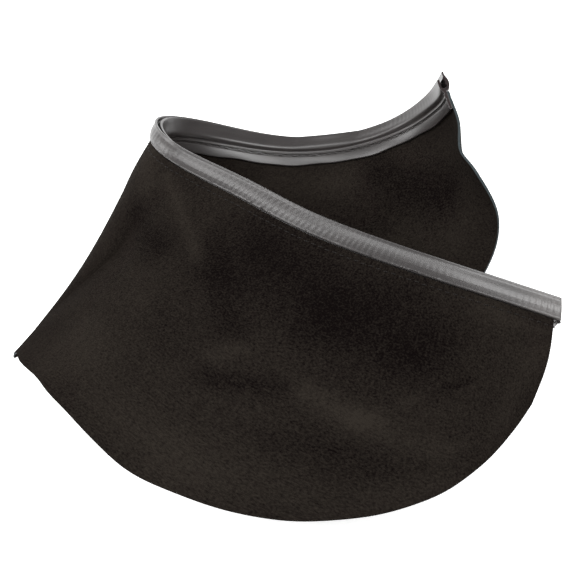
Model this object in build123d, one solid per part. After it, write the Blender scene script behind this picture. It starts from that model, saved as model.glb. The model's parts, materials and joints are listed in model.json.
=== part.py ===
"""Leather throat bib for a welding helmet, at rest on its back half.

One sheet of split leather is sewn along its neck edge to the flange of a plastic
edge trim. The trim's U channel pushes on to the lower rim of a helmet shell. The bib
lies folded at its centre, so the front half rests above the back half.

Millimetres, +Z up, on the floor at Z = 0, centred over its own footprint.
"""
from build123d import *
import math
import os

import numpy as np

# ---- driving dimensions ----------------------------------------------------------
NECK_LENGTH = 490.0        # edge trim, measured along the bottom of its channel
LEATHER_DEPTH = 150.0      # leather below the channel at the centre fold
LEATHER_THICKNESS = 1.4

SLOT_WIDTH = 2.8           # channel's slot, for a shell rim of 2 to 2.5
WALL_THICKNESS = 1.7       # both walls of the channel
FLOOR_THICKNESS = 2.0      # below the slot
OUTER_WALL_HEIGHT = 11.2
INNER_WALL_HEIGHT = 7.6
EDGE_ROUNDING = 0.5        # bevel on the channel's outside corners
FIN_REACH = 0.9            # grip fins inside the slot
FIN_ROOT = 1.3
OUTER_FIN_DROP = 2.6       # fin's root below the outer wall's top
INNER_FIN_DROP = 1.6

FLANGE_THICKNESS = 1.2     # sewing flange, hanging below the channel
FLANGE_DROP = 10.0
FLANGE_TIP_THICKNESS = 1.6
FLANGE_ROOT_THICKNESS = 1.8

SEAM_DROP = 4.0            # stitch line below the channel
THREAD_RADIUS = 0.35
GROOVE_DEPTH = 0.5         # stitch groove on the flange's inner face
GROOVE_WIDTH = 1.6

# ---- clearances ------------------------------------------------------------------
SHEET_CLEARANCE = 0.25     # leather to flange
THREAD_CLEARANCE = 0.4     # thread to the face it lies on
BUTT_CLEARANCE = 0.3       # leather's neck edge below the channel
FOLD_CLEARANCE = 1.6       # between the two halves, measured along the trim
HINGE_OUTSET = 1.6         # fold axis outside the leather's inner face

# ---- how the bib lies ------------------------------------------------------------
# Each line is one place along the neck: its share of half the neck, minus on the back
# half; the channel's place there, from the centre fold; and how the leather falls from
# there to its hem. Both are for the nominal sizes below and grow with the real ones.
NOMINAL_NECK = 490.0
NOMINAL_DEPTH = 150.0
LIE = [
    (-1.00, (161, 24, -1), (15, -45, -9)),
    (-0.90, (155, 28, -24), (31, -73, -1)),
    (-0.80, (141, 27, -44), (30, -103, 2)),
    (-0.60, (98, 22, -64), (-13, -148, -2)),
    (-0.40, (50, 22, -59), (-80, -147, -5)),
    (-0.20, (7, 24, -36), (-82, -128, -18)),
    (-0.08, (-6, 14, -14), (-82, -117, -35)),
    (0.00, (0, 0, 0), (-93, -102, -43)),
    (0.10, (17, -15, 6), (-107, -87, -43)),
    (0.25, (47, -34, 10), (-124, -79, -41)),
    (0.40, (78, -54, 14), (-130, -91, -37)),
    (0.60, (122, -76, 17), (-78, -124, -27)),
    (0.80, (168, -94, 14), (-20, -103, -13)),
    (0.90, (191, -102, 10), (-13, -76, -7)),
    (1.00, (214, -110, 6), (-16, -42, -3)),
]
HALF_NECK = NECK_LENGTH / 2
SECTIONS_PER_HALF = 21


def smooth_curve(shares, points):
    """Returns place(share) and slope(share) on the natural cubic through the points."""
    s = np.array(shares)
    p = np.array(points, dtype=float)
    gap = np.diff(s)
    rate = np.diff(p, axis=0) / gap[:, None]
    system = np.eye(len(s))
    load = np.zeros_like(p)
    for i in range(1, len(s) - 1):
        system[i, i - 1] = gap[i - 1]
        system[i, i] = 2 * (gap[i - 1] + gap[i])
        system[i, i + 1] = gap[i]
        load[i] = 6 * (rate[i] - rate[i - 1])
    bend = np.linalg.solve(system, load)

    def span(share):
        i = int(np.clip(np.searchsorted(s, share) - 1, 0, len(s) - 2))
        return i, share - s[i], gap[i]

    def place(share):
        i, x, h = span(share)
        b = rate[i] - h * (2 * bend[i] + bend[i + 1]) / 6
        return p[i] + b * x + bend[i] * x**2 / 2 + (bend[i + 1] - bend[i]) * x**3 / (6 * h)

    def slope(share):
        i, x, h = span(share)
        b = rate[i] - h * (2 * bend[i] + bend[i + 1]) / 6
        return b + bend[i] * x + (bend[i + 1] - bend[i]) * x**2 / (2 * h)

    return place, slope


shares = [line[0] for line in LIE]
necks = np.array([line[1] for line in LIE]) * NECK_LENGTH / NOMINAL_NECK
falls = np.array([line[2] for line in LIE]) * LEATHER_DEPTH / NOMINAL_DEPTH
neck_place, neck_slope = smooth_curve(shares, necks)
fall_place, fall_slope = smooth_curve(shares, falls)


def unit(v):
    return v / np.linalg.norm(v)


class Station:
    """The sheet at one place along the neck: along it, down the leather, and outward."""

    def __init__(self, share):
        self.neck = neck_place(share)
        self.fall = fall_place(share)
        self.down = unit(self.fall)
        along = unit(neck_slope(share))
        self.slant = math.sqrt(1 - float(along @ self.down) ** 2)
        self.out = unit(np.cross(self.down, along))
        hem_along = neck_slope(share) + fall_slope(share)
        hem_out = unit(np.cross(self.down, hem_along))
        self.sheet_out = unit(self.out + hem_out)

    def point(self, out, up):
        """A point of the trim's section: out from the leather, up from the channel's base."""
        return Vector(*(self.neck + self.out * out - self.down * up / self.slant))

    def sheet_point(self, out, reach):
        """A point of the leather: out from its inner face, reach along its fall."""
        return Vector(*(self.neck + self.sheet_out * out + self.down * reach))


def half_shares(side, clearance):
    """Places along one half, closer together near the fold. side is 1 in front, -1 behind."""
    first = clearance / 2 / HALF_NECK
    steps = [(i / (SECTIONS_PER_HALF - 1)) ** 1.35 for i in range(SECTIONS_PER_HALF)]
    return [side * (first + (1 - first) * step) for step in steps]


def loft_through(rings):
    """One smooth solid through closed rings of corner points."""
    return Solid.make_loft([Wire.make_polygon(ring, close=True) for ring in rings])


# ---- trim ------------------------------------------------------------------------
OUTER_FACE = WALL_THICKNESS + SLOT_WIDTH / 2 - SHEET_CLEARANCE
INNER_FACE = OUTER_FACE - 2 * WALL_THICKNESS - SLOT_WIDTH


def trim_outline():
    """Corners of the trim's section as (out, up), round from the flange's tip."""
    e = EDGE_ROUNDING
    slot_out = OUTER_FACE - WALL_THICKNESS
    slot_in = INNER_FACE + WALL_THICKNESS
    outer_fin = OUTER_WALL_HEIGHT - OUTER_FIN_DROP
    inner_fin = INNER_WALL_HEIGHT - INNER_FIN_DROP
    groove_top = -SEAM_DROP + GROOVE_WIDTH / 2
    groove_bottom = -SEAM_DROP - GROOVE_WIDTH / 2
    face = -SHEET_CLEARANCE
    return [
        (face, -FLANGE_DROP), (face, 0), (OUTER_FACE - e, 0), (OUTER_FACE, e),
        (OUTER_FACE, OUTER_WALL_HEIGHT - e), (OUTER_FACE - e, OUTER_WALL_HEIGHT),
        (slot_out + e / 2, OUTER_WALL_HEIGHT), (slot_out, OUTER_WALL_HEIGHT - e / 2),
        (slot_out, outer_fin), (slot_out - FIN_REACH, outer_fin - FIN_ROOT),
        (slot_out, outer_fin - FIN_ROOT), (slot_out, FLOOR_THICKNESS),
        (slot_in, FLOOR_THICKNESS), (slot_in, inner_fin - FIN_ROOT),
        (slot_in + FIN_REACH, inner_fin - FIN_ROOT), (slot_in, inner_fin),
        (slot_in, INNER_WALL_HEIGHT - e / 2), (slot_in - e / 2, INNER_WALL_HEIGHT),
        (INNER_FACE + e, INNER_WALL_HEIGHT), (INNER_FACE, INNER_WALL_HEIGHT - e),
        (INNER_FACE, e), (INNER_FACE + e, 0),
        (face - FLANGE_ROOT_THICKNESS, -e), (face - FLANGE_ROOT_THICKNESS, groove_top),
        (face - FLANGE_THICKNESS, groove_top - GROOVE_DEPTH / 2),
        (face - FLANGE_THICKNESS, groove_bottom),
        (face - FLANGE_TIP_THICKNESS, -FLANGE_DROP + e),
        (face - FLANGE_TIP_THICKNESS + e, -FLANGE_DROP),
    ]


def trim_half(side):
    outline = trim_outline()
    stations = [Station(share) for share in half_shares(side, FOLD_CLEARANCE)]
    return loft_through([[s.point(out, up) for out, up in outline] for s in stations])


# ---- leather ---------------------------------------------------------------------
def leather_half(side):
    rings = []
    for share in half_shares(side, FOLD_CLEARANCE / 2):
        s = Station(share)
        top = BUTT_CLEARANCE / s.slant
        hem = float(np.linalg.norm(s.fall))
        corners = [(0, top), (LEATHER_THICKNESS, top), (LEATHER_THICKNESS, hem), (0, hem)]
        rings.append([s.sheet_point(out, reach) for out, reach in corners])
    return loft_through(rings)


# ---- seam ------------------------------------------------------------------------
def thread_half(side, out, on_leather):
    """A round thread along the stitch line, out from the leather's inner face."""
    stations = [Station(share) for share in half_shares(side, FOLD_CLEARANCE)]
    if on_leather:
        route = Spline([s.sheet_point(out, SEAM_DROP / s.slant) for s in stations])
    else:
        route = Spline([s.point(out, -SEAM_DROP) for s in stations])
    start = Plane(origin=route @ 0, z_dir=route % 0)
    return sweep(start * Circle(THREAD_RADIUS), path=route, is_frenet=False).solid()


top_thread_out = LEATHER_THICKNESS + THREAD_CLEARANCE + THREAD_RADIUS
bobbin_thread_out = -SHEET_CLEARANCE - FLANGE_THICKNESS - THREAD_CLEARANCE - THREAD_RADIUS

pieces = {}
for name, side in (("front", 1), ("back", -1)):
    pieces["leather_" + name] = leather_half(side)
    pieces["edge_trim_" + name] = trim_half(side)
    pieces["top_thread_" + name] = thread_half(side, top_thread_out, True)
    pieces["bobbin_thread_" + name] = thread_half(side, bobbin_thread_out, False)

# ---- set down on the floor -------------------------------------------------------
boxes = [piece.bounding_box() for piece in pieces.values()]
low = np.min([tuple(b.min) for b in boxes], axis=0)
high = np.max([tuple(b.max) for b in boxes], axis=0)
set_down = Vector(-(low[0] + high[0]) / 2, -(low[1] + high[1]) / 2, -low[2])

os.makedirs("parts", exist_ok=True)
for name, piece in pieces.items():
    placed = Pos(*set_down) * piece
    placed.label = name
    export_step(placed, "parts/" + name + ".step")
    print(name, "volume", round(placed.volume), "valid", placed.is_valid)

fold = Station(0.0)
hinge = Vector(*(fold.neck + fold.out * HINGE_OUTSET)) + set_down
print("size", high - low, "set down by", set_down)
print("fold axis through", hinge, "along", Vector(*fold.down))
slot_centre = OUTER_FACE - WALL_THICKNESS - SLOT_WIDTH / 2
for name, share in (("front", 0.5), ("back", -0.5)):
    s = Station(share)
    centre = s.point(slot_centre, INNER_WALL_HEIGHT / 2) + set_down
    print("slot", name, centre, "mouth", Vector(*(-s.down)))
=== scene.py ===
# %% [markdown]
# # A leather throat bib with its plastic edge trim
#
# The real object hangs below a welding helmet and shields the throat. It is one thin
# sheet of black split leather with raw cut edges. Along its neck edge it is sewn to a
# smoky-grey plastic trim, whose channel pushes on to the rim of the helmet's shell.
#
# Here it lies on a table, folded at its centre: the back half on the table and the
# front half above it. The lesson makes each piece straight and flat, as a workshop
# would, and then lays it along the neck line.

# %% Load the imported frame
import json
import math

import bpy
import numpy as np
from mathutils import Matrix, Vector


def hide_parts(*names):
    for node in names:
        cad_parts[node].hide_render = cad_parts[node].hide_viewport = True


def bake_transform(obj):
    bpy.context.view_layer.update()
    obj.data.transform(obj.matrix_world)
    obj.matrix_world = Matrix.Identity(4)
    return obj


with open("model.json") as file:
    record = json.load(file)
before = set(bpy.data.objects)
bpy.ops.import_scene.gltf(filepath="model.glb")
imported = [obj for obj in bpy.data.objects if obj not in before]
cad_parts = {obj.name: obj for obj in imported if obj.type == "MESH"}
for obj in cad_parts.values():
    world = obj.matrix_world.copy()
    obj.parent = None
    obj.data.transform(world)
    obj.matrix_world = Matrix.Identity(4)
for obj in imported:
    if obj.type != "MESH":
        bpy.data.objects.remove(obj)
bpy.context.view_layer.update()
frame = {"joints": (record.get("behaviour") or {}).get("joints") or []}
bpy.ops.object.select_all(action="DESELECT")
MM = 0.001

# %% [markdown]
# ## How the bib lies
#
# The neck line is the bottom of the trim's channel. A few places along it say where it
# is and how the leather falls from there to its hem, and a smooth curve runs through
# them. This is the same lie as the CAD part's, so every piece lands on its CAD solid.
# The fold joint in the record says where the whole thing stands.

# %% The neck line and the fall of the leather
HALF_NECK = 245.0          # mm of trim from the centre fold to either end
HINGE_OUTSET = 1.6         # mm from the leather's inner face to the fold's axis
LIE = [  # share of half the neck, place from the centre fold, fall to the hem (mm)
    (-1.00, (161, 24, -1), (15, -45, -9)),
    (-0.90, (155, 28, -24), (31, -73, -1)),
    (-0.80, (141, 27, -44), (30, -103, 2)),
    (-0.60, (98, 22, -64), (-13, -148, -2)),
    (-0.40, (50, 22, -59), (-80, -147, -5)),
    (-0.20, (7, 24, -36), (-82, -128, -18)),
    (-0.08, (-6, 14, -14), (-82, -117, -35)),
    (0.00, (0, 0, 0), (-93, -102, -43)),
    (0.10, (17, -15, 6), (-107, -87, -43)),
    (0.25, (47, -34, 10), (-124, -79, -41)),
    (0.40, (78, -54, 14), (-130, -91, -37)),
    (0.60, (122, -76, 17), (-78, -124, -27)),
    (0.80, (168, -94, 14), (-20, -103, -13)),
    (0.90, (191, -102, 10), (-13, -76, -7)),
    (1.00, (214, -110, 6), (-16, -42, -3)),
]


print("half the neck", HALF_NECK, "mm, given at", len(LIE), "places")

# %% [markdown]
# A natural cubic is the curve that a thin springy strip takes through pins, so it suits
# a strip of trim. It is solved once, for the bend at every pin.

# %% A smooth curve through the places
def smooth_curve(shares, points):
    """Returns a function that gives the natural cubic through the points, or its slope."""
    s = np.array(shares)
    p = np.array(points, dtype=float)
    gap = np.diff(s)
    rate = np.diff(p, axis=0) / gap[:, None]
    system = np.eye(len(s))
    load = np.zeros_like(p)
    for i in range(1, len(s) - 1):
        system[i, i - 1] = gap[i - 1]
        system[i, i] = 2 * (gap[i - 1] + gap[i])
        system[i, i + 1] = gap[i]
        load[i] = 6 * (rate[i] - rate[i - 1])
    bend = np.linalg.solve(system, load)

    def at(share, slope=False):
        i = np.clip(np.searchsorted(s, share) - 1, 0, len(s) - 2)
        x = (share - s[i])[:, None]
        h = gap[i][:, None]
        b = rate[i] - h * (2 * bend[i] + bend[i + 1]) / 6
        c = (bend[i + 1] - bend[i]) / (6 * h)
        if slope:
            return b + bend[i] * x + 3 * c * x**2
        return p[i] + b * x + bend[i] * x**2 / 2 + c * x**3

    return at


# %% [markdown]
# From the neck line and the fall come the directions that every piece needs at a place
# along the neck: along it, down the leather and out of it.

# %% Directions along the neck
def unit(vectors):
    return vectors / np.linalg.norm(vectors, axis=1)[:, None]


neck_line = smooth_curve([line[0] for line in LIE], [line[1] for line in LIE])
fall_line = smooth_curve([line[0] for line in LIE], [line[2] for line in LIE])


def lie_at(share):
    """At each share of the neck: place, fall, down, slant, out at the neck, out of the sheet."""
    neck = neck_line(share)
    fall = fall_line(share)
    down = unit(fall)
    along = neck_line(share, slope=True)
    hem_along = along + fall_line(share, slope=True)
    slant = np.sqrt(1 - np.sum(unit(along) * down, axis=1) ** 2)
    out = unit(np.cross(down, along))
    sheet_out = unit(out + unit(np.cross(down, hem_along)))
    return neck, fall, down, slant, out, sheet_out


# %% Where the fold stands
_, fold_fall, _, _, fold_out, _ = lie_at(np.zeros(1))
fold_joint = frame["joints"][0]
hinge = np.array(fold_joint["pos_m"]) / MM
fold_point = hinge - fold_out[0] * HINGE_OUTSET
fold_depth = float(np.linalg.norm(fold_fall))
print("fold at", np.round(fold_point, 2), "mm; leather", round(fold_depth, 1), "mm deep there")

# %% [markdown]
# ## Making a piece straight, then laying it
#
# Trim comes off its roll straight, and so do the pieces here. A straight piece runs
# along X, with its outside towards -Y and its top towards +Z. Laying it moves each of
# its points to the same place along the neck. The straight places are kept as an
# attribute, called flat, so that the surface patterns bend with the piece.

# %% Helpers for straight pieces
def places_of(piece):
    """The piece's points as rows of x, y and z in metres."""
    co = np.zeros(len(piece.data.vertices) * 3)
    piece.data.vertices.foreach_get("co", co)
    return co.reshape(-1, 3)


def move_points(piece, places):
    piece.data.vertices.foreach_set("co", places.astype(np.float32).ravel())
    piece.data.update()


def keep_flat(piece, places):
    """Remembers where each point is before the piece is laid."""
    flat = piece.data.attributes.new("flat", "FLOAT_VECTOR", "POINT")
    flat.data.foreach_set("vector", places.astype(np.float32).ravel())


def along_neck(x, out, up):
    """Places, in mm, of points of a straight piece laid along the neck."""
    neck, _, down, slant, out_way, _ = lie_at(x / HALF_NECK)
    return fold_point + neck + out_way * out[:, None] - down * (up / slant)[:, None]


def lay_along_neck(piece):
    straight = places_of(piece)
    keep_flat(piece, straight)
    x, y, z = straight.T / MM
    move_points(piece, along_neck(x, -y, z) * MM)


def select_points(piece, chosen):
    """In edit mode, selects just the points whose places pass the test."""
    bpy.ops.mesh.select_all(action="DESELECT")
    bpy.ops.object.mode_set(mode="OBJECT")
    for vertex in piece.data.vertices:
        vertex.select = bool(chosen(vertex.co / MM))
    bpy.ops.object.mode_set(mode="EDIT")


def apply_modifier(piece, kind, **settings):
    modifier = piece.modifiers.new(kind.title(), kind)
    for name, value in settings.items():
        setattr(modifier, name, value)
    bpy.context.view_layer.objects.active = piece
    bpy.ops.object.modifier_apply(modifier=modifier.name)


def finish_straight_shape(piece, angle=35):
    """Faces point outwards, and only edges sharper than the angle stay sharp."""
    bpy.ops.object.select_all(action="DESELECT")
    piece.select_set(True)
    bpy.context.view_layer.objects.active = piece
    bpy.ops.object.mode_set(mode="EDIT")
    bpy.ops.mesh.select_all(action="SELECT")
    bpy.ops.mesh.normals_make_consistent(inside=False)
    bpy.ops.object.mode_set(mode="OBJECT")
    bpy.ops.object.shade_smooth_by_angle(angle=math.radians(angle))
    bpy.ops.object.select_all(action="DESELECT")
    print(piece.name, "has", len(piece.data.polygons), "faces")


# %% [markdown]
# ## Materials: shared helpers
#
# Colours are written as sRGB hex values, as a paint chart gives them, and one function
# turns them to the linear values that the shader works in. One more adds a node.

# %% Material helpers
def linear(hex_colour):
    """sRGB hex to linear RGBA."""
    parts = [int(hex_colour[i:i + 2], 16) / 255 for i in (1, 3, 5)]
    return [p / 12.92 if p <= 0.04045 else ((p + 0.055) / 1.055) ** 2.4 for p in parts] + [1.0]


def add_node(tree, kind, settings, inputs):
    """Adds a node; an input is a value, or a socket to link from."""
    node = tree.nodes.new(kind)
    for name, value in settings.items():
        setattr(node, name, value)
    for name, value in inputs.items():
        if isinstance(value, bpy.types.NodeSocket):
            tree.links.new(value, node.inputs[name])
        else:
            node.inputs[name].default_value = value
    return node


def new_material(name):
    """A material with its shader, and the socket that reads the flat attribute."""
    material = bpy.data.materials.new(name)
    material.use_nodes = True
    tree = material.node_tree
    flat = add_node(tree, "ShaderNodeAttribute", {"attribute_name": "flat"}, {})
    return material, tree, tree.nodes["Principled BSDF"], flat.outputs["Vector"]


# %% [markdown]
# ## Black split leather
#
# Split leather is the lower layer of a cowhide, dyed black and left napped on both
# faces. Its short loose fibres scatter light, so it has no shine, only a faint bloom
# where it turns away. Clouds of lighter nap, a few centimetres across, come from
# handling. The fibres are about 0.1 mm wide, too fine to show, so they are drawn at
# 1 mm, as little tufts. The cut edge is not napped: it is denser, smoother and a cold dark grey.

# %% Leather materials
NAP_CLOUD, NAP_PATCH, NAP_FIBRE = 38 * MM, 3 * MM, 1.0 * MM


def make_napped_leather():
    material, tree, shader, flat = new_material("black_split_leather")
    cloud = add_node(tree, "ShaderNodeTexNoise", {}, {
        "Vector": flat, "Scale": 1 / NAP_CLOUD, "Detail": 3.0, "Roughness": 0.55})
    patch = add_node(tree, "ShaderNodeTexNoise", {}, {
        "Vector": flat, "Scale": 1 / NAP_PATCH, "Detail": 4.0, "Roughness": 0.65})
    fibre = add_node(tree, "ShaderNodeTexNoise", {}, {
        "Vector": flat, "Scale": 1 / NAP_FIBRE, "Detail": 2.0, "Roughness": 0.7})
    # The strokes per point: brushed nap, and painted light and shade of the relief and its sheen.
    nap_shade_input = add_node(tree, "ShaderNodeAttribute", {"attribute_name": "nap_and_shade"}, {})
    lifted = add_node(tree, "ShaderNodeMath", {"operation": "MULTIPLY_ADD"}, {
        0: nap_shade_input.outputs["Fac"], 1: 0.34, 2: -1.30})
    clouded = add_node(tree, "ShaderNodeMath", {"operation": "MULTIPLY_ADD"}, {
        0: cloud.outputs["Fac"], 1: 0.6, 2: lifted.outputs[0]})
    patched = add_node(tree, "ShaderNodeMath", {"operation": "MULTIPLY_ADD"}, {
        0: patch.outputs["Fac"], 1: 0.9, 2: clouded.outputs[0]})
    napped = add_node(tree, "ShaderNodeMath", {"operation": "MULTIPLY_ADD", "use_clamp": True}, {
        0: fibre.outputs["Fac"], 1: 2.0, 2: patched.outputs[0]})
    colour = add_node(tree, "ShaderNodeMix", {"data_type": "RGBA"}, {
        0: napped.outputs[0], 6: linear("#070404"), 7: linear("#24201c")})
    height = add_node(tree, "ShaderNodeMath", {"operation": "MULTIPLY_ADD"}, {
        0: patch.outputs["Fac"], 1: 0.6, 2: fibre.outputs["Fac"]})
    bump = add_node(tree, "ShaderNodeBump", {}, {
        "Strength": 0.6, "Distance": 0.25 * MM, "Height": height.outputs[0]})
    tree.links.new(colour.outputs[2], shader.inputs["Base Color"])
    tree.links.new(bump.outputs[0], shader.inputs["Normal"])
    shader.inputs["Roughness"].default_value = 0.95
    shader.inputs["Specular IOR Level"].default_value = 0.03
    shader.inputs["Sheen Weight"].default_value = 0.02
    shader.inputs["Sheen Roughness"].default_value = 0.6
    shader.inputs["Sheen Tint"].default_value = linear("#6a6058")
    return material


def make_cut_leather():
    material, tree, shader, flat = new_material("cut_leather_edge")
    fibre = add_node(tree, "ShaderNodeTexNoise", {}, {
        "Vector": flat, "Scale": 1 / NAP_FIBRE, "Detail": 3.0, "Roughness": 0.7})
    colour = add_node(tree, "ShaderNodeMix", {"data_type": "RGBA"}, {
        0: fibre.outputs["Fac"], 6: linear("#11181a"), 7: linear("#2c383b")})
    bump = add_node(tree, "ShaderNodeBump", {}, {
        "Strength": 0.7, "Distance": 0.2 * MM, "Height": fibre.outputs["Fac"]})
    tree.links.new(colour.outputs[2], shader.inputs["Base Color"])
    tree.links.new(bump.outputs[0], shader.inputs["Normal"])
    shader.inputs["Roughness"].default_value = 0.8
    return material


napped_leather = make_napped_leather()
cut_leather = make_cut_leather()

# %% [markdown]
# ## The leather sheet
#
# The bib is cut flat with shears from one hide. As a sheet it is best made as a grid:
# columns run down the leather from the neck to the hem, and rows follow the neck. Rows
# are close together near the seam, where the stitches press a furrow, and wider below.
# Soft swells and hollows are the way real leather relaxes when it is folded. Solidify
# then gives the sheet its thickness, and its rim takes the cut-edge finish.

# %% Sizes of the leather
LEATHER_THICKNESS = 1.4
TYPICAL_FALL = 140.0       # of the leather; the strokes' widths are measured with it
BUTT_CLEARANCE = 0.3       # neck edge below the channel
SEAM_DROP = 4.0            # stitch line below the channel
SEAM_BAND = 12.0           # finely divided band that the trim's flange covers
SEAM_ROWS, BODY_ROWS = 20, 58
COLUMNS = 241
FURROW_DEPTH, FURROW_WIDTH = 0.22, 1.3
SWELL_FADE = 25.0          # mm below the seam band over which the swells come in
END_FROM = 0.85            # share of half the neck from which the short ends take their curve
END_SKEW = 1.3             # above 1, that curve is fullest below its middle
FRONT_BULGE = 0.012        # the front end curves outwards, as a share of half the neck
BACK_HOLLOW = 0.014        # the back end curves inwards
FRONT_TRIM = 0.011         # the front end is cut back at the seam
HEM_WAVER = 0.22           # unevenness of the shears' cut
HEM_DROPS = [  # where the cut wanders: share of the neck, half width, mm lower
    (0.02, 0.03, 1.6), (0.07, 0.07, 2.2), (0.21, 0.075, 4.9), (0.40, 0.05, -1.8),
    (0.50, 0.05, 2.8), (0.60, 0.25, 1.0), (0.88, 0.08, -1.6),
]
TABLE_GAP = 0.05
print("leather", LEATHER_THICKNESS, "mm thick; grid", COLUMNS, "by", SEAM_ROWS + BODY_ROWS)

# %% [markdown]
# Each swell or hollow is one smooth hill: share of the neck, share of the depth, half
# width along the neck, half width down the leather, and height outwards in mm. All of
# them fade out towards the seam, where the flange holds the leather flat.

# %% Swells and hollows
SWELLS = [
    (0.05, 0.50, 0.14, 0.30, -7.5),
    (0.05, 1.00, 0.10, 0.25, -2.0),
    (0.08, 0.36, 0.09, 0.16, -4.0),
    (-0.97, 0.60, 0.10, 0.34, -6.5),
    (0.19, 0.16, 0.07, 0.16, 1.6),
    (0.38, 0.24, 0.10, 0.18, -2.2),
    (0.68, 0.62, 0.14, 0.22, 2.2),
    (0.30, 0.70, 0.12, 0.20, 1.4),
    (0.50, 0.85, 0.10, 0.16, -1.2),
    (0.84, 0.45, 0.08, 0.25, -1.0),
    (-0.60, 0.30, 0.10, 0.22, -1.8),
    (-0.78, 0.50, 0.07, 0.25, -1.2),
    (-0.42, 0.50, 0.10, 0.22, -1.5),
]


def swell_height(share, depth_share, reach):
    """How far the leather stands out of its plain lie, in mm."""
    height = np.zeros_like(share)
    for centre, centre_depth, width, width_down, rise in SWELLS:
        away = ((share - centre) / width) ** 2 + ((depth_share - centre_depth) / width_down) ** 2
        height += rise * np.exp(-away)
    free = np.clip((reach - SEAM_BAND) / SWELL_FADE, 0, 1)
    return height * free * free * (3 - 2 * free)


print(len(SWELLS), "swells and hollows")

# %% [markdown]
# Each stroke makes the colour lighter or darker: partly nap brushed by a hand, partly painted
# light and shade of the relief and its sheen. From and to, each a share of the neck and of
# the depth, then the stroke's half width in mm, and lighter above 0 or darker below.

# %% Brushed nap and painted light and shade
NAP_AND_SHADE_STROKES = [
    ((0.41, 0.12), (0.74, 0.24), 24, -0.9), ((0.58, 0.30), (0.70, 0.35), 16, -0.4),
    ((0.61, 0.52), (0.69, 0.60), 6, 1.0), ((0.69, 0.60), (0.81, 0.80), 7, 0.8),
    ((0.50, 0.58), (0.57, 0.53), 6, -0.9), ((0.55, 0.70), (0.66, 0.72), 7, -0.3),
    ((0.28, 0.75), (0.48, 0.85), 24, 0.45), ((0.30, 0.53), (0.30, 0.90), 14, 0.3),
    ((0.05, 0.24), (0.22, 0.32), 8, -0.6), ((0.08, 0.06), (0.31, 0.27), 3.5, 0.8),
    ((0.30, 0.18), (0.47, 0.41), 7, -0.5), ((0.48, 0.52), (0.50, 0.45), 4, 0.6),
    ((0.54, 0.90), (0.80, 0.95), 13, 0.5), ((0.83, 0.04), (0.97, 0.16), 7, 0.6),
    ((0.91, 0.80), (0.98, 0.30), 9, 0.4), ((0.77, 0.50), (0.83, 0.45), 3.5, -0.6),
    ((0.73, 0.54), (0.78, 0.48), 3.5, 0.4), ((-0.02, 0.02), (0.04, 0.12), 9, 0.7),
    ((-0.46, 0.12), (-0.60, 0.16), 9, 0.6), ((-0.70, 0.50), (-0.78, 0.72), 10, 0.6),
    ((-0.69, 0.18), (-0.82, 0.48), 12, -0.9), ((-0.30, 0.06), (-0.36, 0.20), 8, -0.4),
]


def nap_and_painted_shade(share, depth_share):
    """How much lighter or darker each point is, about -1 to 1: brushing plus painted light and
    shade.
    """
    scale = np.array([HALF_NECK, TYPICAL_FALL])
    at = np.stack([share, depth_share], -1) * scale
    light = np.zeros(len(share))
    for begin, end, half_width, lift in NAP_AND_SHADE_STROKES:
        a, b = np.array(begin) * scale, np.array(end) * scale
        along = np.clip((at - a) @ (b - a) / ((b - a) @ (b - a)), 0, 1)
        away = np.linalg.norm(at - a - along[:, None] * (b - a), axis=1)
        light += lift * np.exp(-((away / half_width) ** 2))
    return light


print(len(NAP_AND_SHADE_STROKES), "strokes")

# %% [markdown]
# The sheet is its inner face, laid from the fold point: down from the neck by its reach
# and out by its height. Nothing of it may go below the table.

# %% The sheet itself
def make_leather_sheet():
    share = np.linspace(-1, 1, COLUMNS)
    _, fall, _, slant, _, _ = lie_at(share)
    hem = np.linalg.norm(fall, axis=1)
    x_mm = share * HALF_NECK
    hem = hem + HEM_WAVER * (np.sin(x_mm / 3.1) + np.sin(x_mm / 7.7 + 1)) / 2
    for centre, width, drop in HEM_DROPS:
        hem = hem + drop * np.exp(-(((share - centre) / width) ** 2))
    top = BUTT_CLEARANCE / slant
    band = np.linspace(0, 1, SEAM_ROWS)[None, :] * (SEAM_BAND - top)[:, None] + top[:, None]
    body_steps = np.linspace(0, 1, BODY_ROWS + 1)[1:]
    body = SEAM_BAND + body_steps[None, :] * (hem - SEAM_BAND)[:, None]
    reach = np.hstack([band, body])
    rows = reach.shape[1]
    depth_share = reach / hem[:, None]
    end = np.clip((np.abs(share) - END_FROM) / (1 - END_FROM), 0, 1) ** 2
    curve = np.sin(np.pi * depth_share**END_SKEW) * end[:, None]
    front_end = FRONT_BULGE * curve - FRONT_TRIM * (1 - depth_share) * end[:, None]
    shares = share[:, None] + np.where(share[:, None] > 0, front_end, BACK_HOLLOW * curve)
    shares = shares.ravel()
    reach, depth_share = reach.ravel(), depth_share.ravel()
    neck, _, down, slant_at, _, sheet_out = lie_at(shares)
    height = swell_height(shares, depth_share, reach)
    off_seam = (reach * slant_at - SEAM_DROP) / FURROW_WIDTH
    height -= FURROW_DEPTH * np.exp(-off_seam**2)
    places = fold_point + neck + down * reach[:, None] + sheet_out * height[:, None]
    lowest = LEATHER_THICKNESS + TABLE_GAP
    places[:, 2] = np.maximum(places[:, 2], lowest)
    number = np.arange(COLUMNS * rows).reshape(COLUMNS, rows)
    faces = np.stack([number[:-1, :-1], number[:-1, 1:], number[1:, 1:], number[1:, :-1]], -1)
    mesh = bpy.data.meshes.new("bib_leather")
    mesh.from_pydata((places * MM).tolist(), [], faces.reshape(-1, 4).tolist())
    sheet = bpy.data.objects.new("bib_leather", mesh)
    bpy.context.scene.collection.objects.link(sheet)
    keep_flat(sheet, np.stack([shares * HALF_NECK, 0 * reach, -reach], -1) * MM)
    # Per point: brushed nap and painted light and shade.
    nap_and_shade = mesh.attributes.new("nap_and_shade", "FLOAT", "POINT")
    nap_and_shade.data.foreach_set("value", nap_and_painted_shade(shares, depth_share).astype(np.float32))
    return sheet


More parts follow.
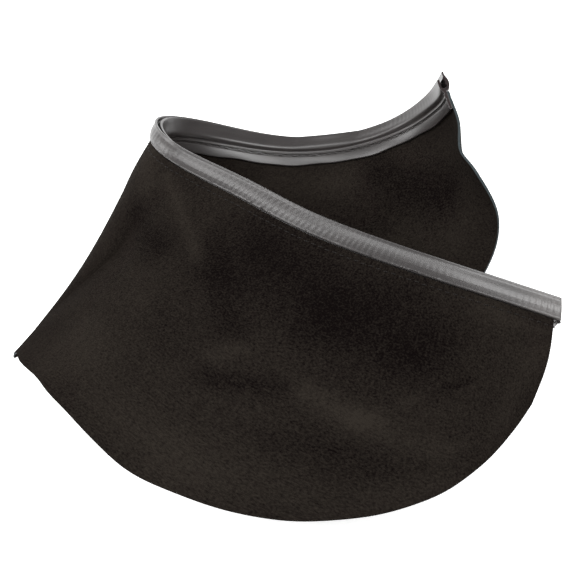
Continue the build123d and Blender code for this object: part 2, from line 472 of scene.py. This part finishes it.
leather = make_leather_sheet()
leather.data.materials.append(napped_leather)
leather.data.materials.append(cut_leather)
flat_area = sum(face.area for face in leather.data.polygons)
print("leather sheet area", round(flat_area, 4), "m2")
apply_modifier(leather, "SOLIDIFY", thickness=LEATHER_THICKNESS * MM, offset=1.0,
               use_even_offset=True, material_offset_rim=1)
apply_modifier(leather, "BEVEL", width=0.3 * MM, segments=2, limit_method="ANGLE",
               angle_limit=math.radians(60), harden_normals=False)
finish_straight_shape(leather, 50)

# %% [markdown]
# ## Smoky PVC trim: the finish
#
# The trim is soft PVC, extruded through a die, so it is glossy and even along its
# length, and a little light gets into it. Near the front end and at the fold a lighter
# colour is mixed in, a painted highlight. Its sawn ends show a darker, matt core.

# %% Trim materials
STRESS_CLOUD, DIE_LINE, RIB = 22 * MM, 1.1 * MM, 1.7 * MM


def make_trim_plastic():
    material, tree, shader, flat = new_material("smoky_soft_pvc")
    cloud = add_node(tree, "ShaderNodeTexNoise", {}, {
        "Vector": flat, "Scale": 1 / STRESS_CLOUD, "Detail": 3.0, "Roughness": 0.6})
    smoky = add_node(tree, "ShaderNodeMix", {"data_type": "RGBA"}, {
        0: cloud.outputs["Fac"], 6: linear("#1f1c1c"), 7: linear("#322e2d")})
    # Painted highlight: a lighter grey mixed in at the front end and at the fold.
    painted_highlight = add_node(tree, "ShaderNodeAttribute", {"attribute_name": "painted_highlight"}, {})
    colour = add_node(tree, "ShaderNodeMix", {"data_type": "RGBA"}, {
        0: painted_highlight.outputs["Fac"], 6: smoky.outputs[2], 7: linear("#7c7876")})
    stretched = add_node(tree, "ShaderNodeMapping", {}, {"Vector": flat, "Scale": (0.03, 1, 1)})
    lines = add_node(tree, "ShaderNodeTexNoise", {}, {
        "Vector": stretched.outputs[0], "Scale": 1 / DIE_LINE, "Detail": 2.0})
    squeezed = add_node(tree, "ShaderNodeMapping", {}, {"Vector": flat, "Scale": (1, 0.04, 0.04)})
    ribs = add_node(tree, "ShaderNodeTexNoise", {}, {
        "Vector": squeezed.outputs[0], "Scale": 1 / RIB, "Detail": 1.0})
    relief = add_node(tree, "ShaderNodeMath", {"operation": "MULTIPLY_ADD"}, {
        0: ribs.outputs["Fac"], 1: 0.4, 2: lines.outputs["Fac"]})
    bump = add_node(tree, "ShaderNodeBump", {}, {
        "Strength": 0.25, "Distance": 0.05 * MM, "Height": relief.outputs[0]})
    tree.links.new(colour.outputs[2], shader.inputs["Base Color"])
    tree.links.new(bump.outputs[0], shader.inputs["Normal"])
    shader.inputs["Roughness"].default_value = 0.35
    shader.inputs["IOR"].default_value = 1.53
    shader.inputs["Subsurface Weight"].default_value = 0.2
    shader.inputs["Subsurface Radius"].default_value = (0.8, 0.7, 0.7)
    shader.inputs["Subsurface Scale"].default_value = 1 * MM
    return material


def make_trim_core():
    material, tree, shader, flat = new_material("sawn_pvc_core")
    grain = add_node(tree, "ShaderNodeTexNoise", {}, {
        "Vector": flat, "Scale": 1 / (0.5 * MM), "Detail": 2.0})
    colour = add_node(tree, "ShaderNodeMix", {"data_type": "RGBA"}, {
        0: grain.outputs["Fac"], 6: linear("#181415"), 7: linear("#332b2b")})
    tree.links.new(colour.outputs[2], shader.inputs["Base Color"])
    shader.inputs["Roughness"].default_value = 0.85
    shader.inputs["Specular IOR Level"].default_value = 0.15
    return material


trim_plastic = make_trim_plastic()
trim_core = make_trim_core()

# %% [markdown]
# ## The edge trim: its section
#
# The trim's section is a U with a fin on each wall, and a sewing flange below. A die
# gives the section, and the extruder's puller gives the length. Here a circle of
# points is moved to the section's corners, its corners are rounded by vertex bevels,
# and the outline is extruded into a thin slice, which an array repeats.

# %% Section of the trim
INNER_FACE = -3.35
SLOT_OUT, SLOT_IN = 1.15, -1.65
OUTER_TOP, INNER_TOP, SLOT_BOTTOM = 11.2, 7.6, 2.0
FLANGE_FACE = -0.25
SECTION = [  # (out, up, rounding) from the flange's tip, round by the outside
    (FLANGE_FACE, -10.0, 0.3), (FLANGE_FACE, 0.0, 0),
    (2.35, -0.1, 0.8), (2.95, 2.2, 1.6), (3.30, 5.6, 2.4), (2.60, 9.5, 0.7),
    (2.95, 11.25, 0.6), (SLOT_OUT + 0.2, OUTER_TOP, 0.4),
    (SLOT_OUT, 8.6, 0), (SLOT_OUT - 0.9, 7.3, 0.12), (SLOT_OUT, 7.3, 0),
    (SLOT_OUT, SLOT_BOTTOM, 0.9), (SLOT_IN, SLOT_BOTTOM, 0.9),
    (SLOT_IN, 4.7, 0), (SLOT_IN + 0.9, 4.7, 0.12), (SLOT_IN, 6.0, 0),
    (SLOT_IN, INNER_TOP, 0.4), (INNER_FACE, INNER_TOP, 0.6),
    (INNER_FACE + 0.3, 3.7, 1.6), (INNER_FACE - 0.25, -0.3, 1.0),
    (-2.2, -1.4, 0.5), (-2.0, -2.3, 0.4), (-2.3, -3.2, 0.3),
    (-1.6, -3.6, 0), (-1.6, -4.4, 0), (-2.0, -4.8, 0.4), (-1.85, -10.0, 0.5),
]
SLICE = 0.8                # mm; short enough to carry the ripples
TRIM_END = HALF_NECK


def make_trim_outline():
    """A closed ring of points in the shape of the section, at the trim's back end."""
    bpy.ops.mesh.primitive_circle_add(vertices=len(SECTION), radius=10 * MM, fill_type="NOTHING")
    ring = bpy.context.active_object
    ring.name = "edge_trim"
    ring.data.name = "edge_trim"
    corners = [(-TRIM_END, -out, up) for out, up, _ in SECTION]
    move_points(ring, np.array(corners) * MM)
    bpy.ops.object.mode_set(mode="EDIT")
    for radius in sorted({corner[2] for corner in SECTION if corner[2] > 0}):
        spots = [Vector((-TRIM_END, -out, up)) for out, up, r in SECTION if r == radius]
        select_points(ring, lambda co: any((co - spot).length < 0.01 for spot in spots))
        bpy.ops.mesh.bevel(affect="VERTICES", offset=radius * MM, segments=3, clamp_overlap=True)
    bpy.ops.mesh.select_all(action="SELECT")
    bpy.ops.mesh.extrude_region_move(TRANSFORM_OT_translate={"value": (SLICE * MM, 0, 0)})
    bpy.ops.object.mode_set(mode="OBJECT")
    return ring


trim = make_trim_outline()
slices = round(2 * TRIM_END / SLICE)
print("trim section has", len(trim.data.vertices) // 2, "points; slices", slices)
apply_modifier(trim, "ARRAY", count=slices, use_relative_offset=False, use_constant_offset=True,
               constant_offset_displace=(SLICE * MM, 0, 0), use_merge_vertices=True,
               merge_threshold=0.02 * MM)

# %% [markdown]
# ## The edge trim: ends, ripples and flange
#
# The ends are sawn, so each gets a flat face with an inset core. Bending a
# channel edgeways makes its walls ripple every 3 to 4 mm, most where it was bent
# hardest, and the ripples break the shine into soft spots. The flange's free edge
# wanders a little, because it was trimmed by eye.

# %% Ends of the trim
def cap_end(piece, x):
    """Closes one end of the straight trim, with a core inside a thin skin."""
    bpy.ops.object.mode_set(mode="EDIT")
    bpy.ops.mesh.select_mode(type="VERT")
    select_points(piece, lambda co: abs(co.x - x) < 0.3)
    bpy.ops.mesh.edge_face_add()
    bpy.ops.mesh.inset(thickness=0.2 * MM)
    bpy.ops.object.mode_set(mode="OBJECT")
    for face in piece.data.polygons:
        if face.select:
            face.material_index = 1


trim.data.materials.append(trim_plastic)
trim.data.materials.append(trim_core)
bpy.ops.object.select_all(action="DESELECT")
trim.select_set(True)
bpy.context.view_layer.objects.active = trim
ends = places_of(trim)[:, 0] / MM
cap_end(trim, ends.min())
cap_end(trim, ends.max())

# %% [markdown]
# Each cause of unevenness is one function that moves the points of the straight trim,
# so each can be changed or left out by itself. They come in a maker's order: ripples,
# saw cut and flange first, then what the fold, the saw and the bend do to the channel.

# %% Ripples in the walls, the saw cut and the wandering flange
RIPPLE_PITCH = 3.4
OUTER_SKIN, INNER_SKIN = 2.2, -2.9     # mm out; only what lies beyond these ripples
SAW_REACH = 12.0           # the front end is sawn askew, over this last stretch
SAW_FOOT, SAW_SLOPE = 1.0, 0.27
FLANGE_TRIMMED = 4.0
WANDER_FROM, WANDER_OVER = -5.5, 4.5   # mm up, and mm over which the flange's edge wanders
RIPPLES = [  # share of the neck, half length as a share, height in mm
    (0.00, 0.06, 0.10), (0.30, 0.16, 0.08), (0.62, 0.13, 0.07),
    (0.97, 0.08, 0.13), (-0.78, 0.10, 0.07), (-0.45, 0.15, 0.03),
]


def ripple_at(x_mm):
    """Signed height of the ripples along the trim, in mm."""
    strength = sum(rise * np.exp(-((x_mm / HALF_NECK - centre) / half) ** 2)
                   for centre, half, rise in RIPPLES)
    wander = 0.9 * np.sin(x_mm / 5.3) + 0.7 * np.sin(x_mm / 13.7 + 2)
    return strength * np.sin(2 * math.pi * x_mm / RIPPLE_PITCH + wander)


def shape_walls(piece):
    x, y, z = places_of(piece).T / MM
    up_outer = np.clip(z / OUTER_TOP, 0, 1)
    up_inner = np.clip(z / INNER_TOP, 0, 1)
    outer = (-y > OUTER_SKIN) * np.sin(math.pi * up_outer) ** 0.8
    inner = (-y < INNER_SKIN) * np.sin(math.pi * up_inner) ** 0.8
    y -= ripple_at(x) * (outer - inner)
    tip = np.clip((WANDER_FROM - z) / WANDER_OVER, 0, 1)
    z += tip * (0.35 * np.sin(x / 7.5 + 1) + 0.2 * np.sin(x / 3.6))
    saw = np.clip(1 - (TRIM_END - x) / SAW_REACH, 0, 1)
    x += saw * np.where(z > -0.3, SAW_FOOT - SAW_SLOPE * z, -FLANGE_TRIMMED)
    move_points(piece, np.stack([x, y, z], -1) * MM)


# %% The pinch at the fold and the rounder back end
PINCH_PLACE, PINCH_REACH = -12.0, 45.0             # mm along the trim
PINCH_CLOSE, PINCH_SINK, PINCH_RISE = 0.7, 1.5, 1.8
PINCH_OUTER, PINCH_INNER = 9.0, 5.6                # mm of each wall over which it grows
ROUND_REACH, ROUND_MIDDLE = 14.0, 0.2              # mm along the trim, and mm out
ROUND_LOW, LOW_TOP, LOW_END = 0.42, 4.5, -1.3      # squeeze of the foot, mm up, and down to
ROUND_HIGH, HIGH_FROM, HIGH_OVER = 0.30, 5.0, 6.0  # squeeze of the walls, mm up, and over
ROUND_LIFT = 0.5


def pinch_fold(piece):
    """At the fold the outer wall is stretched and sinks; the inner one is squeezed and rises."""
    x, y, z = places_of(piece).T / MM
    near = np.exp(-(((x - PINCH_PLACE) / PINCH_REACH) ** 2))
    outer = near * (-y > 0) * np.clip((z - SLOT_BOTTOM) / PINCH_OUTER, 0, 1)
    inner = near * (-y < 0) * np.clip((z - SLOT_BOTTOM) / PINCH_INNER, 0, 1)
    z += inner * PINCH_RISE - outer * PINCH_SINK
    y += (outer - inner) * PINCH_CLOSE
    move_points(piece, np.stack([x, y, z], -1) * MM)


def round_far_end(piece):
    """The back end was squeezed as it was sawn, so its U is rounder there."""
    x, y, z = places_of(piece).T / MM
    near = np.clip(1 - (x + TRIM_END) / ROUND_REACH, 0, 1) ** 2
    low = np.clip(1 - z / LOW_TOP, 0, 1) ** 2 * (z > LOW_END)
    high = np.clip((z - HIGH_FROM) / HIGH_OVER, 0, 1)
    out = -y - ROUND_MIDDLE
    out = out * (1 - near * (ROUND_LOW * low + ROUND_HIGH * high))
    z = z + near * low * ROUND_LIFT
    move_points(piece, np.stack([x, -out - ROUND_MIDDLE, z], -1) * MM)


# %% The lean of the channel, and the painted highlights at the end and the fold
LEAN_PIVOT = 0.5                       # mm out from the leather's inner face
LEAN_FROM, LEAN_OVER = -0.5, 1.5       # mm up, and mm over which the lean comes in
LEANS = [(-1.0, 0), (-0.9, 5), (-0.72, 22), (-0.14, 22), (0.0, 9), (0.3, 0), (1.0, 0)]
# Painted highlight: how much lighter, where it lies and how soft its edge is, in mm.
HIGHLIGHT_END, END_AT, END_BLUR = 0.25, 228.0, 4.0
HIGHLIGHT_FOLD, FOLD_AT, FOLD_BLUR = 0.08, 2.0, 9.0


def lean_channel(piece):
    """Bent edgeways, the channel leans outwards over its flange; LEANS has share and degrees."""
    x, y, z = places_of(piece).T / MM
    lean = np.interp(x / HALF_NECK, *zip(*LEANS))
    lift = np.clip((z - LEAN_FROM) / LEAN_OVER, 0, 1)
    turn = np.radians(lean) * lift
    out = -y - LEAN_PIVOT
    leaning = LEAN_PIVOT + out * np.cos(turn) + z * np.sin(turn)
    up = z * np.cos(turn) - out * np.sin(turn)
    move_points(piece, np.stack([x, -leaning, up], -1) * MM)


def paint_bend_highlights(piece):
    """Paints a lighter colour, a painted highlight, at the fold and at the gripped end."""
    x = places_of(piece)[:, 0] / MM
    at_end = HIGHLIGHT_END / (1 + np.exp((END_AT - x) / END_BLUR))
    at_fold = HIGHLIGHT_FOLD * np.exp(-(((x - FOLD_AT) / FOLD_BLUR) ** 2))
    highlight_amount = at_end + at_fold
    painted_highlight = piece.data.attributes.new("painted_highlight", "FLOAT", "POINT")
    painted_highlight.data.foreach_set("value", highlight_amount.astype(np.float32))


# %% [markdown]
# The trim is laid last. Its back half lies on the table with its outer wall down, so
# the wall that leans is lifted, slice by slice, by just what would be under the table.

# %% Shape, lay and rest the trim
WALL_REACH = 8.0           # mm up the wall over which the lift comes in
STATION_START = 2.0        # mm before the back end where the count of slices starts


def rest_on_table(piece):
    """Where the leaning wall would sink into the table, it bends up and rests on it."""
    places = places_of(piece)
    flat = np.zeros(places.size)
    piece.data.attributes["flat"].data.foreach_get("vector", flat)
    along, _, up = flat.reshape(-1, 3).T / MM
    station = np.round((along + TRIM_END + STATION_START) / SLICE).astype(int)
    lowest = np.full(station.max() + 1, 1.0)
    np.minimum.at(lowest, station, places[:, 2])
    lift = np.clip(TABLE_GAP * MM - lowest, 0, None)
    places[:, 2] += lift[station] * np.clip(up / WALL_REACH, 0, 1)
    move_points(piece, places)
    print("outer wall lifted by at most", round(lift.max() / MM, 2), "mm")


shape_walls(trim)
pinch_fold(trim)
round_far_end(trim)
lean_channel(trim)
paint_bend_highlights(trim)
finish_straight_shape(trim, 32)
lay_along_neck(trim)
rest_on_table(trim)

# %% [markdown]
# ## The seam
#
# A lockstitch machine sews leather and flange together with one thread on each side:
# the top thread shows as short dashes on the leather, and the bobbin thread, pulled
# tighter, as an almost unbroken line in the flange's groove. One stitch is a small
# sphere, stretched, with its ends bent down into their needle holes, and an array sets
# the rest at the machine's pitch.

# %% Thread material
def make_thread():
    material, tree, shader, flat = new_material("bonded_nylon_thread")
    ply = add_node(tree, "ShaderNodeTexWave", {"bands_direction": "DIAGONAL"}, {
        "Vector": flat, "Scale": 1 / (2.2 * MM), "Distortion": 1.0})
    colour = add_node(tree, "ShaderNodeMix", {"data_type": "RGBA"}, {
        0: ply.outputs["Fac"], 6: linear("#0b0908"), 7: linear("#221e1c")})
    tree.links.new(colour.outputs[2], shader.inputs["Base Color"])
    shader.inputs["Roughness"].default_value = 0.7
    shader.inputs["Specular IOR Level"].default_value = 0.15
    return material


thread = make_thread()
print("thread material", thread.name)

# %% [markdown]
# Both rows are made by one function. A row differs in the face it lies on, how thick its
# thread is, the length of a stitch and how deep its ends dip.

# %% Stitches
STITCH_PITCH = 4.0
SEAM_END = HALF_NECK - 2.5
TOP_SEAT = LEATHER_THICKNESS - FURROW_DEPTH + 0.12     # mm out, of each thread's middle
BOBBIN_SEAT = -1.62
TOP_RADIUS, TOP_LENGTH, TOP_DIP = 0.33, 3.2, 0.4
BOBBIN_RADIUS, BOBBIN_LENGTH, BOBBIN_DIP = 0.24, 4.8, 0.05
STITCH_WANDER, STITCH_SLANT = 0.14, 0.1


def make_stitches(name, out, side, radius, length, hole_depth):
    """A straight row of stitches; side is 1 outside the leather and -1 inside."""
    bpy.ops.mesh.primitive_uv_sphere_add(segments=8, ring_count=6, radius=1 * MM)
    row = bpy.context.active_object
    row.name = name
    row.data.name = name
    ball = places_of(row) / MM
    x = ball[:, 2] * length / 2
    dip = -side * hole_depth * ball[:, 2] ** 4
    start = -SEAM_END + length / 2
    y = ball[:, 0] * radius - out - dip
    z = ball[:, 1] * radius - SEAM_DROP
    move_points(row, np.stack([start + x, y, z], -1) * MM)
    count = int((2 * SEAM_END - length) / STITCH_PITCH) + 1
    apply_modifier(row, "ARRAY", count=count, use_relative_offset=False, use_constant_offset=True,
                   constant_offset_displace=(STITCH_PITCH * MM, 0, 0))
    straight = places_of(row) / MM
    number = np.round((straight[:, 0] - start) / STITCH_PITCH)
    from_middle = straight[:, 0] - start - number * STITCH_PITCH
    straight[:, 2] += STITCH_WANDER * np.sin(number * 2.4) + STITCH_SLANT * from_middle
    move_points(row, straight * MM)
    row.data.materials.append(thread)
    finish_straight_shape(row, 60)
    lay_along_neck(row)
    print(name, count, "stitches")
    return row


top_stitches = make_stitches("top_stitches", TOP_SEAT, 1, TOP_RADIUS, TOP_LENGTH, TOP_DIP)
bobbin_stitches = make_stitches(
    "bobbin_stitches", BOBBIN_SEAT, -1, BOBBIN_RADIUS, BOBBIN_LENGTH, BOBBIN_DIP)

# %% [markdown]
# ## The loose thread ends
#
# The seam was not back-tacked: the top thread was cut off just past the front end of
# the leather. One end curls free, and the other is caught under the trim's corner. A
# thread end is a small circle, extruded step by step along its way, and then joined to
# its row of stitches.

# %% Thread ends
FREE_END = [  # each point is mm along the neck, out and up
    (241.6, 1.5, -4.0), (243.0, 1.9, -4.2), (244.1, 1.9, -4.9), (244.7, 1.6, -5.8),
    (244.3, 1.3, -6.6),
]
CAUGHT_END = [
    (242.2, 1.6, -2.4), (243.7, 2.0, -0.9), (245.0, 2.6, -0.7), (245.7, 2.7, -1.2),
    (245.0, 2.3, -1.7), (244.2, 2.0, -1.3),
]
FREE_RADIUS, CAUGHT_RADIUS = 0.28, 0.42


def make_thread_end(name, way, radius):
    bpy.ops.mesh.primitive_circle_add(vertices=8, radius=radius * MM, fill_type="NGON")
    end = bpy.context.active_object
    end.name = name
    circle = places_of(end)
    x, out, up = way[0]
    upright = np.stack([0 * circle[:, 1], circle[:, 0], circle[:, 1]], -1)
    move_points(end, np.array([x, -out, up]) * MM + upright)
    bpy.ops.object.mode_set(mode="EDIT")
    bpy.ops.mesh.select_all(action="SELECT")
    for before, after in zip(way, way[1:]):
        step = (after[0] - before[0], before[1] - after[1], after[2] - before[2])
        bpy.ops.mesh.extrude_region_move(TRANSFORM_OT_translate={"value": [v * MM for v in step]})
    bpy.ops.object.mode_set(mode="OBJECT")
    end.data.materials.append(thread)
    finish_straight_shape(end, 70)
    lay_along_neck(end)
    return end


thread_ends = [
    make_thread_end("free_end", FREE_END, FREE_RADIUS),
    make_thread_end("caught_end", CAUGHT_END, CAUGHT_RADIUS),
]
for end in thread_ends:
    end.select_set(True)
top_stitches.select_set(True)
bpy.context.view_layer.objects.active = top_stitches
bpy.ops.object.join()
print("top stitches with their ends:", len(top_stitches.data.polygons), "faces")

# %% [markdown]
# ## In place of the CAD halves
#
# The CAD splits the bib into two halves at the fold, because a rigid body can't bend.
# The real pieces run across the fold; each one keeps its place, baked into its points,
# and the two CAD halves that it stands for are hidden.

# %% Each piece in place of its CAD halves
for piece, cad_name, slot in (
    (leather, "leather", "leather"),
    (trim, "edge_trim", "trim"),
    (top_stitches, "top_thread", "thread"),
    (bobbin_stitches, "bobbin_thread", "thread"),
):
    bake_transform(piece)
    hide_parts(cad_name + "_front", cad_name + "_back")

# %% [markdown]
# ## Table, light and camera
#
# A white table under a pale surround, as in a product studio. The table glows a little,
# so it burns out to white while the black leather keeps its soft modelling. The surround
# is darker low on the right, which leaves the inside of the fold in shade.

# %% Table
bpy.ops.mesh.primitive_plane_add(size=60, location=(0, 0, -0.2 * MM))
table = bpy.context.active_object
table.name = "studio_table"
paper = bpy.data.materials.new("matt_white_paper")
paper.use_nodes = True
paper_shader = paper.node_tree.nodes["Principled BSDF"]
paper_shader.inputs["Base Color"].default_value = linear("#f4f4f4")
paper_shader.inputs["Roughness"].default_value = 0.9
paper_shader.inputs["Emission Color"].default_value = (1, 1, 1, 1)
paper_shader.inputs["Emission Strength"].default_value = 0.6
table.data.materials.append(paper)
print("table top at", round(table.location.z / MM, 2), "mm")

# %% Surround
WINDOW_WAY = (-0.6, 0.2, 0.77)     # the surround is brightest up and to the left
DIMMEST, BRIGHTEST = 0.15, 0.85
world = bpy.data.worlds.new("white_surround")
bpy.context.scene.world = world
world.use_nodes = True
sky = world.node_tree
direction = add_node(sky, "ShaderNodeTexCoord", {}, {})
toward = add_node(sky, "ShaderNodeVectorMath", {"operation": "DOT_PRODUCT"}, {
    0: direction.outputs["Generated"], 1: WINDOW_WAY})
glow = add_node(sky, "ShaderNodeMapRange", {}, {
    "Value": toward.outputs["Value"], "From Min": -0.3, "From Max": 0.9,
    "To Min": DIMMEST, "To Max": BRIGHTEST})
background = sky.nodes["Background"]
background.inputs["Color"].default_value = (1, 1, 1, 1)
sky.links.new(glow.outputs["Result"], background.inputs["Strength"])
print("surround from", DIMMEST, "to", BRIGHTEST)

# %% [markdown]
# Soft plastic shows its lamps, so each broad lamp stands where one part of the trim
# mirrors it: the left one in the front wall, the overhead and right ones in the back
# half's inner wall, and the low one in the fold.

# %% Lamps
def add_softbox(name, place, aim, width, height, power):
    data = bpy.data.lights.new(name, "AREA")
    data.shape = "RECTANGLE"
    data.size = width
    data.size_y = height
    data.energy = power
    lamp = bpy.data.objects.new(name, data)
    bpy.context.scene.collection.objects.link(lamp)
    lamp.location = place
    lamp.rotation_euler = (Vector(aim) - Vector(place)).to_track_quat("-Z", "Y").to_euler()


add_softbox("left_softbox", (-0.72, 0.10, 0.99), (0, 0, 0.05), 0.42, 0.42, 5.5)
add_softbox("overhead_softbox", (-0.10, 0.40, 1.25), (0, 0, 0.05), 0.6, 0.3, 5)
add_softbox("right_softbox", (0.52, 0.0, 1.12), (0.1, 0, 0.05), 0.50, 0.6, 10)
add_softbox("left_low_softbox", (-1.15, 0.40, 0.42), (0, 0, 0.05), 0.5, 0.4, 5)


# %% [markdown]
# The camera looks down on the bib from just in front of it, with a long lens, as a
# catalogue would show it.

# %% Camera
CAMERA_PLACE = Vector((0.1302, -0.2152, 0.7726))
CAMERA_LOOK = Vector((-0.158, 0.287, -0.945)).normalized()
CAMERA_UP = Vector((0.047, 0.958, 0.283))
camera_data = bpy.data.cameras.new("studio_camera")
camera_data.sensor_width = 36
camera_data.lens = 86.9
camera = bpy.data.objects.new("studio_camera", camera_data)
bpy.context.scene.collection.objects.link(camera)
right = CAMERA_LOOK.cross(CAMERA_UP).normalized()
above = right.cross(CAMERA_LOOK)
turn = Matrix((right, above, -CAMERA_LOOK)).transposed()
camera.matrix_world = Matrix.Translation(CAMERA_PLACE) @ turn.to_4x4()
bpy.context.scene.camera = camera
print("camera", round(CAMERA_PLACE.length, 3), "m from the origin, lens", camera_data.lens, "mm")
bpy.context.scene.view_settings.view_transform = "Standard"
